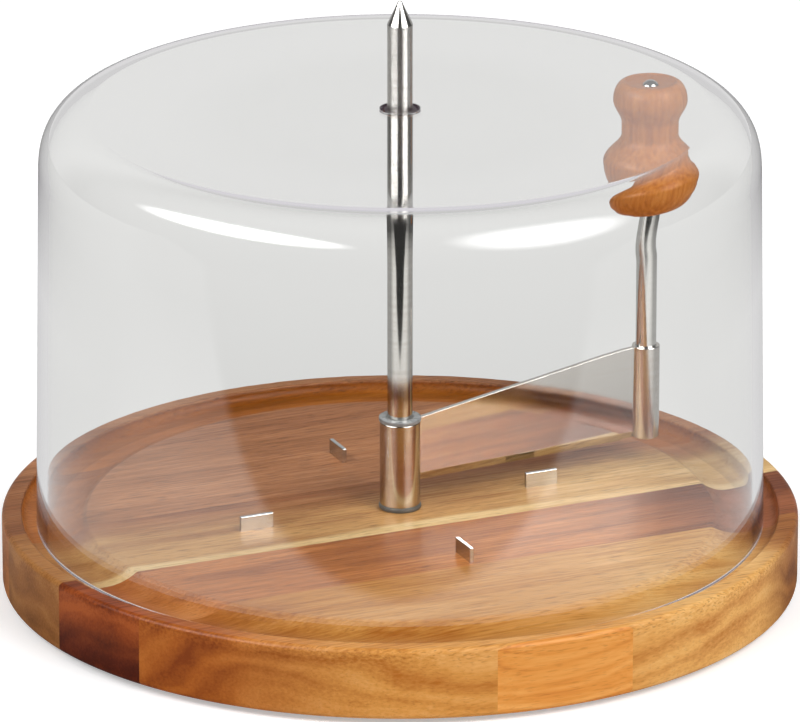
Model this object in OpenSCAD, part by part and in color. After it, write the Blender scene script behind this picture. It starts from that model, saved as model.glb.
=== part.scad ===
// Cheese curler: a round board of glued acacia staves carries a pointed steel spindle and four
// prongs. A scraper blade turns on the spindle, led by a crank with a turned knob, and a clear
// cover stands in the board's groove. Millimetres, +Z up, origin on the table under the spindle.

/* [Board] */
// Diameter of the board
board_d = 220; // [200:1:260]
// Thickness of the board
board_t = 20; // [18:0.5:30]
// Radius of the rounded outer edges
edge_round = 1.5; // [0.5:0.1:3]
// Direction of the grain, measured from +X
grain_angle = 24; // [0:1:90]
// What is left of the outermost stave at the front
front_sliver_w = 1.8; // [1.2:0.1:20]
// Width of the stave in front of the middle one
front_stave_w = 31.8; // [20:0.1:45]
// Distance from the spindle to the glue line in front of it
middle_front_w = 17.5; // [12:0.1:30]
// Distance from the spindle to the glue line behind it
middle_back_w = 21; // [12:0.1:30]
// Width of the stave behind the middle one
back_stave_w = 49; // [20:0.1:55]

/* [Groove] */
// Width of the flat rim outside the groove
rim_w = 5.5; // [3:0.5:10]
// Depth of the groove
groove_depth = 3.2; // [2.5:0.1:6]
// Width of the flat seat at the bottom of the groove
seat_w = 6.3; // [4.5:0.1:9]
// Radius of the scooped inner side of the groove
scoop_r = 14; // [7:0.5:16]
// Radius of the eased edges of the groove
groove_ease = 0.6; // [0.2:0.1:1.2]
// Radius of the eased edge of the floor inside the groove
floor_ease = 1.5; // [0.5:0.1:3]

/* [Prongs] */
// Radius of the ring of prongs
prong_ring_r = 43; // [30:1:60]
// Length of a prong along the board
prong_l = 9.6; // [6:0.1:14]
// Thickness of a prong
prong_t = 1.2; // [0.8:0.1:2]
// Height of a prong above the board
prong_h = 4.2; // [3:0.1:6]
// Depth of a prong in the board
prong_root = 7; // [5:0.5:9]
// Cut-off corners at the top of a prong
prong_corner = 0.6; // [0.2:0.1:1.5]

/* [Feet] */
// Diameter of a rubber foot
foot_d = 12; // [8:0.5:16]
// How far a foot stands out under the board
foot_drop = 1.5; // [1:0.1:3]
// How deep a foot sits in the board
foot_recess = 2; // [1:0.1:4]
// Distance from the board's edge to the middle of a foot
foot_inset = 22; // [14:1:40]
// Radius of the rounded lower edge of a foot
foot_round = 0.6; // [0.2:0.1:0.9]

/* [Spindle] */
// Diameter of the spindle
spindle_d = 7; // [6:0.1:10]
// Length of the pointed tip
tip_l = 6.5; // [4:0.5:12]
// Diameter of the blunted point
tip_d = 1; // [0.6:0.1:2]
// How far the spindle stands out above the cover
spindle_above_cover = 30.4; // [15:0.1:50]
// How deep the spindle sits in the board
spindle_seat = 8; // [5:0.5:9]
// Diameter of the threaded stud under the spindle
stud_d = 5; // [4:0.5:5.5]
// Length of the stud past the nut
stud_end = 0.8; // [0.4:0.1:1.5]
// Diameter of the washer under the board
washer_d = 12; // [11:0.5:14]
// Thickness of the washer
washer_t = 1; // [0.8:0.1:1.6]
// Width of the nut across its flats
nut_af = 8; // [7.5:0.5:9.5]
// Thickness of the nut
nut_t = 4; // [3:0.1:4.5]
// Room round the washer in its recess
recess_play = 1.5; // [1:0.1:3]
// Depth of the nut below the underside of the board
nut_cover = 1; // [0.5:0.1:1.8]

/* [Scraper hub] */
// Height of the hub from the board to the top of its upper bush
hub_h = 26.6; // [20:0.1:40]
// Wall of a bush
bush_wall = 0.85; // [0.6:0.05:1.5]
// Length of a bush inside the sleeve
bush_l = 8; // [5:0.5:9]
// Thickness of a bush's flange
flange_t = 1.2; // [0.8:0.1:2]
// How far a flange stands out past the sleeve
flange_lip = 0.25; // [0.2:0.05:1]
// Wall of the sleeve
sleeve_wall = 1.15; // [0.8:0.05:2]

/* [Scraper blade] */
// Direction of the blade at rest, measured from +X
blade_angle = 29; // [0:1:80]
// Thickness of the blade
blade_t = 1.5; // [1:0.1:2.5]
// Drop of the blade's top edge below the top of the sleeve
blade_drop = 0.8; // [0.6:0.1:3]
// Share of the blade's length at which its top edge starts to level out
blade_bend = 0.82; // [0.5:0.01:0.95]
// Gap between the prongs and the cutting edge
blade_prong_gap = 2.6; // [1:0.1:5]
// Height of the ground bevel at the cutting edge
bevel_h = 2.4; // [1:0.1:4]
// Thickness left at the cutting edge
edge_t = 0.4; // [0.2:0.05:0.8]
// How far the cutting edge hangs below the socket
edge_drop = 0.4; // [0.2:0.1:1.5]
// Length of the relief between the cutting edge and the socket
relief_l = 4; // [2:0.5:8]

/* [Crank] */
// Length of the socket at the end of the blade
socket_l = 26.9; // [20:0.1:40]
// Wall of the socket
socket_wall = 1; // [0.6:0.1:1.6]
// Diameter of the crank rod
rod_d = 5.9; // [5:0.1:8]
// Bare rod between the socket and the knob
grip_gap = 41.5; // [30:0.5:70]
// Diameter of the pin that the knob turns on
pin_d = 3.8; // [3.4:0.1:4.2]
// Diameter of the rivet's shank
rivet_d = 2.2; // [1.5:0.1:2.4]
// Length of the rivet's shank
rivet_l = 8; // [5:0.5:14]
// Diameter of the rivet's head
rivet_head_d = 4.7; // [4.5:0.1:6]
// Height of the rivet's head
rivet_head_h = 1.5; // [1:0.1:2.2]

/* [Knob] */
// Height of the knob
knob_h = 33; // [30:0.5:45]
// Radius of the knob's underside
knob_foot_r = 6; // [4:0.1:8]
// Radius of the knob's skirt
knob_skirt_r = 12.9; // [11:0.1:16]
// Height of the widest part of the skirt
knob_skirt_z = 10; // [7:0.1:12]
// Radius of the knob's waist
knob_waist_r = 7.9; // [6.5:0.1:10]
// Height at which the straight waist starts
knob_waist_z = 17.8; // [15:0.1:19]
// Length of the straight waist
knob_waist_l = 3.2; // [1:0.1:5]
// Radius of the knob's head
knob_head_r = 10.3; // [9:0.1:12]
// Height of the widest part of the head
knob_head_z = 27.7; // [25:0.1:29]
// Radius of the dish in the knob's top
knob_dish_r = 7.1; // [5:0.1:8]
// Depth of the dish
knob_dish_h = 1.2; // [0.5:0.1:2]

/* [Cover] */
// Thickness of the cover's wall
cover_t = 3; // [2:0.1:4]
// Play between the cover and the groove's outer side
cover_play = 1.4; // [0.3:0.1:1.5]
// Draft of the cover's wall, in degrees
cover_draft = 1.05; // [0.3:0.05:2]
// Outer radius of the cover's top edge
cover_round = 13; // [8:0.5:20]
// Inner radius of the cover's top edge
cover_inner_round = 10; // [5:0.5:11]
// Headroom between the crank and the cover
headroom = 3.2; // [2:0.1:10]
// Gap between the knob and the cover's wall
knob_wall_gap = 3.8; // [3:0.1:15]
// Play between the spindle and the hole in the cover
hole_play = 1.75; // [1:0.05:3]

/* [Fits] */
// Radial clearance of a running fit
running_fit = 0.05; // [0.02:0.01:0.1]
// Radial clearance of a fixed fit
fixed_fit = 0.03; // [0.01:0.01:0.06]
// Gap between faces that rest on each other
rest_gap = 0.05; // [0.02:0.01:0.1]

/* [Hidden] */
$fn = 96;
board_fn = 720;
arc_steps = 10;
curve_steps = 12;
prong_count = 4;
foot_count = 4;
past = 1;

// Board heights and radii
board_r = board_d / 2;
board_z0 = foot_drop;
board_z1 = board_z0 + board_t;
rim_in_r = board_r - rim_w;
groove_wall_r = groove_depth - groove_ease;
seat_out_r = rim_in_r - groove_wall_r;
seat_in_r = seat_out_r - seat_w;
seat_z = board_z1 - groove_depth;
ease_rise = scoop_r - groove_depth + floor_ease;
floor_r = seat_in_r - sqrt(pow(scoop_r + floor_ease, 2) - pow(ease_rise, 2));
ease_angle = atan2(ease_rise, seat_in_r - floor_r);

// Glue lines between the staves, as distances from the spindle, positive towards the front
glue_lines = [board_r - front_sliver_w, middle_front_w + front_stave_w, middle_front_w,
              -middle_back_w, -middle_back_w - back_stave_w];
stave_count = len(glue_lines) + 1;

// Spindle fixing under the board
spindle_r = spindle_d / 2;
stud_r = stud_d / 2;
recess_r = washer_d / 2 + recess_play;
recess_depth = nut_cover + stud_end + nut_t + washer_t;
spindle_z0 = board_z1 - spindle_seat;
washer_z = board_z0 + recess_depth - washer_t;
nut_z = washer_z - nut_t;

// Hub radii and heights
bush_in_r = spindle_r + running_fit;
bush_out_r = bush_in_r + bush_wall;
sleeve_in_r = bush_out_r + running_fit;
sleeve_r = sleeve_in_r + sleeve_wall;
flange_r = sleeve_r + flange_lip;
hub_z0 = board_z1 + rest_gap;
hub_z1 = board_z1 + hub_h;
sleeve_z0 = hub_z0 + flange_t + rest_gap;
sleeve_z1 = hub_z1 - flange_t - rest_gap;

// Crank heights, from the cutting edge up to the rivet
edge_z = board_z1 + prong_h + blade_prong_gap;
socket_z0 = edge_z + edge_drop;
socket_z1 = socket_z0 + socket_l;
rod_r = rod_d / 2;
pin_r = pin_d / 2;
socket_in_r = rod_r + fixed_fit;
socket_r = socket_in_r + socket_wall;
shoulder_z = socket_z1 + grip_gap;
knob_z = shoulder_z + rest_gap;
pin_z1 = knob_z + knob_h - knob_dish_h + rest_gap;
crank_z1 = max(knob_z + knob_h, pin_z1 + rivet_head_h);

// Cover heights and radii
cover_z0 = seat_z + rest_gap;
cover_in_z1 = crank_z1 + headroom;
cover_z1 = cover_in_z1 + cover_t;
cover_r = seat_out_r - cover_play;
cover_in_r = cover_r - cover_t / cos(cover_draft);
hole_r = spindle_r + hole_play;
spindle_z1 = cover_z1 + spindle_above_cover;

// Crank reach, so that the knob's skirt clears the cover's wall
skirt_z = knob_z + knob_skirt_z;
reach = cover_in_r - (skirt_z - cover_z0) * tan(cover_draft) - knob_wall_gap - knob_skirt_r;

// Tones of the staves, from the front
stave_colors = ["#c98a45", "#c07a36", "#8a4f2c", "#b9824c", "#7d4a2c", "#a5672f"];
steel = "#c9c7c4";

// Points along a circle's arc, from angle a0 to angle a1
function arc(x, y, r, a0, a1) =
    [for (i = [0:arc_steps]) let (a = a0 + (a1 - a0) * i / arc_steps) [x + r * cos(a), y + r * sin(a)]];

// Points along a half cosine wave between two turning points of a turned outline
function swell(r0, z0, r1, z1) =
    [for (i = [1:curve_steps]) let (t = i / curve_steps)
        [r0 + (r1 - r0) * (1 - cos(180 * t)) / 2, z0 + (z1 - z0) * t]];

// Radius of the middle of a cover's top round, tangent to the drafted wall and the flat top
function round_middle(wall_r, r, z1) =
    wall_r - (z1 - r + r * sin(cover_draft) - cover_z0) * tan(cover_draft) - r * cos(cover_draft);

// A straight tube between two heights
module tube(outer_r, inner_r, z0, z1) {
    translate([0, 0, z0])
        difference() {
            cylinder(r = outer_r, h = z1 - z0);
            translate([0, 0, -past]) cylinder(r = inner_r, h = z1 - z0 + 2 * past);
        }
}

// Copies turned evenly about the spindle, offset from the grain
module at_ring(i, count, ring_r, offset_angle) {
    rotate([0, 0, grain_angle + offset_angle + 360 * i / count]) translate([ring_r, 0, 0]) children();
}

// The blade's own direction: +X runs from the spindle to the crank
module along_blade() {
    rotate([0, 0, blade_angle]) children();
}

// The crank's axis
module at_crank() {
    along_blade() translate([reach, 0, 0]) children();
}

// Outline of the turned board: rim, groove with a seat for the cover, scooped side, flat floor
module board_outline() {
    polygon(concat(
        [[0, board_z0]],
        arc(board_r - edge_round, board_z0 + edge_round, edge_round, -90, 0),
        arc(board_r - edge_round, board_z1 - edge_round, edge_round, 0, 90),
        arc(rim_in_r + groove_ease, board_z1 - groove_ease, groove_ease, 90, 180),
        arc(seat_out_r, seat_z + groove_wall_r, groove_wall_r, 0, -90),
        arc(seat_in_r, seat_z + scoop_r, scoop_r, 270, 180 + ease_angle),
        arc(floor_r, board_z1 - floor_ease, floor_ease, ease_angle, 90),
        [[0, board_z1]]
    ));
}

// What is cut out of the board for the spindle, its nut, the prongs and the feet
module board_cuts() {
    translate([0, 0, spindle_z0]) cylinder(r = spindle_r + fixed_fit, h = spindle_seat + past);
    cylinder(r = stud_r + fixed_fit, h = board_z1);
    cylinder(r = recess_r, h = board_z0 + recess_depth);
    for (i = [0:prong_count - 1])
        at_ring(i, prong_count, prong_ring_r, 0)
            translate([-prong_l / 2 - fixed_fit, -prong_t / 2 - fixed_fit, board_z1 - prong_root])
                cube([prong_l + 2 * fixed_fit, prong_t + 2 * fixed_fit, prong_root + past]);
    for (i = [0:foot_count - 1])
        at_ring(i, foot_count, board_r - foot_inset, 45)
            cylinder(r = foot_d / 2 + fixed_fit, h = board_z0 + foot_recess);
}

// One stave: the slice of the turned board between two glue lines
module board_stave(n) {
    front = n == 1 ? board_r + past : glue_lines[n - 2];
    back = n == stave_count ? -board_r - past : glue_lines[n - 1];
    color(stave_colors[n - 1])
        difference() {
            intersection() {
                rotate_extrude($fn = board_fn) board_outline();
                rotate([0, 0, grain_angle])
                    translate([-board_d, -front, 0]) cube([2 * board_d, front - back, board_z1 + past]);
            }
            board_cuts();
        }
}

// Steel spindle with a blunted point above and a threaded stud below
module spindle() {
    stud_z0 = nut_z - stud_end;
    color(steel)
        rotate_extrude()
            polygon(concat(
                [[0, stud_z0], [stud_r, stud_z0], [stud_r, spindle_z0], [spindle_r, spindle_z0],
                 [spindle_r, spindle_z1 - tip_l], [tip_d / 2, spindle_z1 - tip_d / 2]],
                [for (a = [15:15:90]) [tip_d / 2 * cos(a), spindle_z1 - tip_d / 2 * (1 - sin(a))]]
            ));
}

module spindle_washer() {
    color("silver") tube(washer_d / 2, stud_r + fixed_fit, washer_z, washer_z + washer_t);
}

module spindle_nut() {
    color("silver")
        translate([0, 0, nut_z])
            difference() {
                cylinder(d = nut_af / cos(30), h = nut_t, $fn = 6);
                translate([0, 0, -past]) cylinder(r = stud_r + fixed_fit, h = nut_t + 2 * past);
            }
}

// A flat steel prong, driven into the board along a radius
module prong(n) {
    side = prong_l / 2;
    top = board_z1 + prong_h;
    color(steel)
        at_ring(n - 1, prong_count, prong_ring_r, 0)
            rotate([90, 0, 0])
                linear_extrude(height = prong_t, center = true)
                    polygon([[-side, board_z1 - prong_root], [side, board_z1 - prong_root],
                             [side, top - prong_corner], [side - prong_corner, top],
                             [-side + prong_corner, top], [-side, top - prong_corner]]);
}

// A rubber foot, set in the underside of the board
module foot(n) {
    color("#3a3634")
        at_ring(n - 1, foot_count, board_r - foot_inset, 45)
            rotate_extrude()
                polygon(concat(
                    [[0, 0]],
                    arc(foot_d / 2 - foot_round, foot_round, foot_round, -90, 0),
                    [[foot_d / 2, board_z0 + foot_recess], [0, board_z0 + foot_recess]]
                ));
}

// A flanged bush, flange down, with its bore's mouth chamfered
module bush() {
    mouth = bush_wall / 2;
    rotate_extrude()
        polygon([[bush_in_r + mouth, 0], [flange_r, 0], [flange_r, flange_t], [bush_out_r, flange_t],
                 [bush_out_r, flange_t + bush_l], [bush_in_r, flange_t + bush_l], [bush_in_r, mouth]]);
}

module lower_bush() {
    color("#a9adae") translate([0, 0, hub_z0]) bush();
}

module upper_bush() {
    color("#c3c8c9") translate([0, 0, hub_z1]) mirror([0, 0, 1]) bush();
}

// Steel sleeve that turns on the two bushes
module hub_sleeve() {
    color(steel) tube(sleeve_r, sleeve_in_r, sleeve_z0, sleeve_z1);
}

// Height of the blade's top edge at a share of its length: a straight rise that levels out at the socket
function blade_top(t) =
    let (low = sleeve_z1 - blade_drop, past_bend = max(t - blade_bend, 0))
    low + (socket_z1 - low) * (t - past_bend * past_bend / (2 * (1 - blade_bend))) * 2 / (1 + blade_bend);

// Side view of the blade, from the spindle's axis to the crank's axis
module blade_outline() {
    relief_x = reach - socket_r - relief_l;
    polygon(concat(
        [[0, edge_z], [relief_x, edge_z], [relief_x + 2 * edge_drop, socket_z0], [reach, socket_z0]],
        [for (i = [0:curve_steps]) let (t = 1 - i / curve_steps) [reach * t, blade_top(t)]]
    ));
}

// What is ground off one side of the blade to leave its cutting edge
module blade_bevel() {
    slope = bevel_h / (blade_t - edge_t);
    rotate([90, 0, 90])
        linear_extrude(height = reach)
            polygon([[-blade_t / 2 - past, edge_z + bevel_h + past * slope],
                     [-blade_t / 2 - past, edge_z - past * slope],
                     [blade_t / 2 - edge_t + past, edge_z - past * slope]]);
}

module scraper_blade() {
    color(steel)
        along_blade()
            difference() {
                rotate([90, 0, 0]) linear_extrude(height = blade_t, center = true) blade_outline();
                blade_bevel();
                cylinder(r = sleeve_r, h = socket_z1 + past);
                translate([reach, 0, 0]) cylinder(r = socket_r, h = socket_z1 + past);
            }
}

module crank_socket() {
    color(steel) at_crank() tube(socket_r, socket_in_r, socket_z0, socket_z1);
}

// Crank rod with a shoulder under the knob and a thinner pin through it, drilled for the rivet
module crank_rod() {
    color(steel)
        at_crank()
            difference() {
                union() {
                    translate([0, 0, socket_z0]) cylinder(r = rod_r, h = shoulder_z - socket_z0);
                    translate([0, 0, shoulder_z - past]) cylinder(r = pin_r, h = pin_z1 - shoulder_z + past);
                }
                translate([0, 0, pin_z1 - rivet_l - past])
                    cylinder(r = rivet_d / 2 + fixed_fit, h = rivet_l + 2 * past);
            }
}

// Round-headed rivet that keeps the knob on its pin
module knob_rivet() {
    head_r = rivet_head_d / 2;
    ball_r = (head_r * head_r + rivet_head_h * rivet_head_h) / (2 * rivet_head_h);
    color(steel)
        at_crank()
            translate([0, 0, pin_z1]) {
                intersection() {
                    translate([0, 0, rivet_head_h - ball_r]) sphere(r = ball_r);
                    cylinder(r = head_r, h = rivet_head_h);
                }
                translate([0, 0, -rivet_l]) cylinder(r = rivet_d / 2, h = rivet_l + rivet_head_h / 2);
            }
}

// Turned knob: rounded foot, flared skirt, straight waist, round head with a dished top
module crank_knob() {
    bore_r = pin_r + running_fit;
    waist_z1 = knob_waist_z + knob_waist_l;
    foot = [for (i = [0:arc_steps]) let (a = 90 * i / arc_steps)
        [knob_foot_r + (knob_skirt_r - knob_foot_r) * sin(a), knob_skirt_z * (1 - cos(a))]];
    crown = [for (i = [1:arc_steps]) let (a = 90 * i / arc_steps)
        [knob_dish_r + (knob_head_r - knob_dish_r) * cos(a),
         knob_head_z + (knob_h - knob_head_z) * sin(a)]];
    color("#d09a68")
        at_crank()
            translate([0, 0, knob_z])
                rotate_extrude()
                    polygon(concat(
                        [[bore_r, 0]], foot,
                        swell(knob_skirt_r, knob_skirt_z, knob_waist_r, knob_waist_z),
                        [[knob_waist_r, waist_z1]],
                        swell(knob_waist_r, waist_z1, knob_head_r, knob_head_z), crown,
                        [[rivet_head_d / 2 + running_fit, knob_h - knob_dish_h], [bore_r, knob_h - knob_dish_h]]
                    ));
}

// Clear cover: a drafted wall with a rounded top edge and a hole for the spindle
module cover() {
    outer_x = round_middle(cover_r, cover_round, cover_z1);
    inner_x = round_middle(cover_in_r, cover_inner_round, cover_in_z1);
    color("#dfe6e8", 0.3)
        rotate_extrude()
            polygon(concat(
                [[cover_r, cover_z0]],
                arc(outer_x, cover_z1 - cover_round, cover_round, cover_draft, 90),
                [[hole_r, cover_z1], [hole_r, cover_in_z1]],
                arc(inner_x, cover_in_z1 - cover_inner_round, cover_inner_round, 90, cover_draft),
                [[cover_in_r, cover_z0]]
            ));
}

board_stave(1);  // board_stave_1
board_stave(2);  // board_stave_2
board_stave(3);  // board_stave_3
board_stave(4);  // board_stave_4
board_stave(5);  // board_stave_5
board_stave(6);  // board_stave_6
spindle();
spindle_washer();
spindle_nut();
prong(1);  // prong_1
prong(2);  // prong_2
prong(3);  // prong_3
prong(4);  // prong_4
foot(1);  // foot_1
foot(2);  // foot_2
foot(3);  // foot_3
foot(4);  // foot_4
lower_bush();
upper_bush();
hub_sleeve();
scraper_blade();
crank_socket();
crank_rod();
knob_rivet();
crank_knob();
cover();
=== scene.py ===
import math

import bmesh
import bpy
import numpy as np
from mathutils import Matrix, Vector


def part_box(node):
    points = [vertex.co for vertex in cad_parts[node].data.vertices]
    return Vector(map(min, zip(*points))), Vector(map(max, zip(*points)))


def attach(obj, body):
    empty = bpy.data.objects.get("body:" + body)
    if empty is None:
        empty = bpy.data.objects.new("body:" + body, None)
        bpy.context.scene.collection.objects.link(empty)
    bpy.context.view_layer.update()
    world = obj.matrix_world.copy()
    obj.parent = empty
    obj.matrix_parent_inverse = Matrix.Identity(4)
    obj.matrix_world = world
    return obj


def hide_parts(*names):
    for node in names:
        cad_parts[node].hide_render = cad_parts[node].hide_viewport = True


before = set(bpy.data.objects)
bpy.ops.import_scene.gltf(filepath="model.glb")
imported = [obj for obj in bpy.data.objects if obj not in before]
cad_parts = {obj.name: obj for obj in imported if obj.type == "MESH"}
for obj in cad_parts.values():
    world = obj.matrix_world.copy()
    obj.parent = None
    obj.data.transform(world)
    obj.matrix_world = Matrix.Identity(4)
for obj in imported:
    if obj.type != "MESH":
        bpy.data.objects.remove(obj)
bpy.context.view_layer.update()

# Shapes are worked out in millimetres, and meshes, lights and the camera are made in metres
MM = 0.001
# Points of a mesh closer than this are one point, in millimetres
MERGE = 0.001
# Above 50, the largest faces count for more than their area in a shared normal
FLAT_WEIGHT = 90


# Sizes read from the CAD nodes

def low_high(node):
    """Lowest and highest corner of a CAD node, in millimetres."""
    return np.array(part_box(node)) / MM


def middle(node):
    """Place of a CAD node's axis on the table, in millimetres."""
    return low_high(node).mean(axis=0)[:2]


def radius(node):
    """Radius of a turned CAD node, in millimetres."""
    low, high = low_high(node)
    return (high[0] - low[0]) / 2


def heights(node):
    """Bottom and top of a CAD node, in millimetres."""
    return low_high(node)[:, 2]


RIM_Z = heights("board_stave_2")[1]
CRANK = middle("crank_rod")
REACH = float(np.hypot(*CRANK))
BLADE_ANGLE = math.atan2(CRANK[1], CRANK[0])
# The staves run this far round from the x axis
GRAIN_ANGLE = math.radians(24)


# Shapes

def eased(corners, radii, steps=7):
    """Closed outline with each corner turned into an arc. The arc leaves one side and joins the next at
    radius / tan(half the corner's angle) from the corner, and its points turn evenly about its middle,
    which lies on the bisector at radius / sin(half the angle)."""
    corners = np.array(corners, float)
    radii = np.array(radii, float)[:, None]
    back = np.roll(corners, 1, axis=0) - corners
    on = np.roll(corners, -1, axis=0) - corners
    back /= np.linalg.norm(back, axis=1, keepdims=True)
    on /= np.linalg.norm(on, axis=1, keepdims=True)
    half = np.arccos(np.clip((back * on).sum(axis=1, keepdims=True), -1, 1)) / 2
    bisector = back + on
    bisector /= np.maximum(np.linalg.norm(bisector, axis=1, keepdims=True), 1e-9)
    centre = corners + bisector * radii / np.sin(half)
    start = corners + back * radii / np.tan(half) - centre
    end = corners + on * radii / np.tan(half) - centre
    first = np.arctan2(start[:, 1:], start[:, :1])
    sweep = (np.arctan2(end[:, 1:], end[:, :1]) - first + np.pi) % (2 * np.pi) - np.pi
    angles = first + sweep * np.linspace(0, 1, steps)
    arcs = np.stack([np.cos(angles), np.sin(angles)], axis=-1) * radii[:, :, None]
    return (centre[:, None, :] + arcs).reshape(-1, 2)


def skin(name, grid, closed_rows):
    """Mesh over a grid of points: each cell between neighbouring rows and columns is a face. The columns
    close into rings, and so do the rows where closed_rows is set. Points that coincide, as at a pole, are
    merged, and the faces are turned outwards."""
    rows, columns = grid.shape[:2]
    index = np.arange(rows * columns).reshape(rows, columns)
    if closed_rows:
        index = np.vstack([index, index[:1]])
    beside = np.roll(index, -1, axis=1)
    faces = np.stack([index[:-1], beside[:-1], beside[1:], index[1:]], axis=-1).reshape(-1, 4)
    mesh = bpy.data.meshes.new(name)
    mesh.from_pydata((grid.reshape(-1, 3) * MM).tolist(), [], faces.tolist())
    work = bmesh.new()
    work.from_mesh(mesh)
    bmesh.ops.remove_doubles(work, verts=work.verts, dist=MERGE * MM)
    bmesh.ops.recalc_face_normals(work, faces=work.faces)
    work.to_mesh(mesh)
    work.free()
    mesh.shade_smooth()
    return mesh


def turned(name, outline, axis=(0, 0), facets=128, tube=False):
    """Surface of revolution: the outline's radius and height turned evenly about an upright axis. A tube's
    outline closes on itself, and another begins and ends on the axis."""
    turn = np.linspace(0, 2 * np.pi, facets, endpoint=False)
    r, z = np.array(outline, float).T[:, :, None]
    grid = np.stack([axis[0] + r * np.cos(turn), axis[1] + r * np.sin(turn), z + 0 * turn], axis=-1)
    return skin(name, grid, closed_rows=tube)


def plate(name, size, edge, place, angle, facets=48):
    """Flat bar with rounded edges: the points of a ball of the edge's radius, each moved out by the bar's
    half size less that radius, towards the corner that it faces, and the whole turned about an upright
    axis. The ball's points lie evenly on circles between its two poles."""
    around = (np.arange(facets) + 0.5) * 2 * np.pi / facets
    between = (np.arange(facets // 2) + 0.5) * 2 * np.pi / facets - np.pi / 2
    up = np.concatenate([[-np.pi / 2], between, [np.pi / 2]])[:, None]
    ball = np.stack([np.cos(up) * np.cos(around), np.cos(up) * np.sin(around), np.sin(up) + 0 * around],
                    axis=-1)
    bar = edge * ball + np.sign(np.round(ball, 6)) * (np.array(size) / 2 - edge)
    x, y, z = np.moveaxis(bar, -1, 0)
    grid = np.stack([place[0] + x * math.cos(angle) - y * math.sin(angle),
                     place[1] + x * math.sin(angle) + y * math.cos(angle), place[2] + z], axis=-1)
    return skin(name, grid, closed_rows=False)


def piece(mesh, body, node, finish):
    """Object for a mesh that stands for a CAD node, rides on its body and takes one finish. Normals are
    weighted by face size, so that flats stay flat beside their rounded edges."""
    made = bpy.data.objects.new(mesh.name, mesh)
    bpy.context.scene.collection.objects.link(made)
    made.data.materials.append(finish)
    weighted = made.modifiers.new("flats", "WEIGHTED_NORMAL")
    weighted.weight = FLAT_WEIGHT
    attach(made, body)
    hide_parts(node)


def dress(node, finish):
    """Gives a finish to a CAD node that keeps its own shape."""
    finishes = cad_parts[node].data.materials
    finishes.clear()
    finishes.append(finish)


# Finishes

def linear(colour):
    """Linear RGBA of an sRGB hex colour."""
    parts = np.array([int(colour[i:i + 2], 16) for i in (1, 3, 5)]) / 255
    return (*np.where(parts <= 0.04045, parts / 12.92, ((parts + 0.055) / 1.055) ** 2.4).tolist(), 1.0)


def add(tree, kind, inputs, stops=(), **settings):
    """Adds a node with its settings, sets or links each input, and gives a colour ramp its stops."""
    made = tree.nodes.new("ShaderNode" + kind)
    for name, value in settings.items():
        setattr(made, name, value)
    for name, value in inputs.items():
        if isinstance(value, bpy.types.NodeSocket):
            tree.links.new(value, made.inputs[name])
        else:
            made.inputs[name].default_value = value
    for number, (position, colour) in enumerate(stops):
        ramp = made.color_ramp.elements
        stop = ramp[number] if number < len(ramp) else ramp.new(position)
        stop.position = position
        stop.color = linear(colour)
    return made.outputs


def new_finish(name):
    """An empty node material."""
    made = bpy.data.materials.new(name)
    made.use_nodes = True
    made.node_tree.nodes.clear()
    return made


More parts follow.
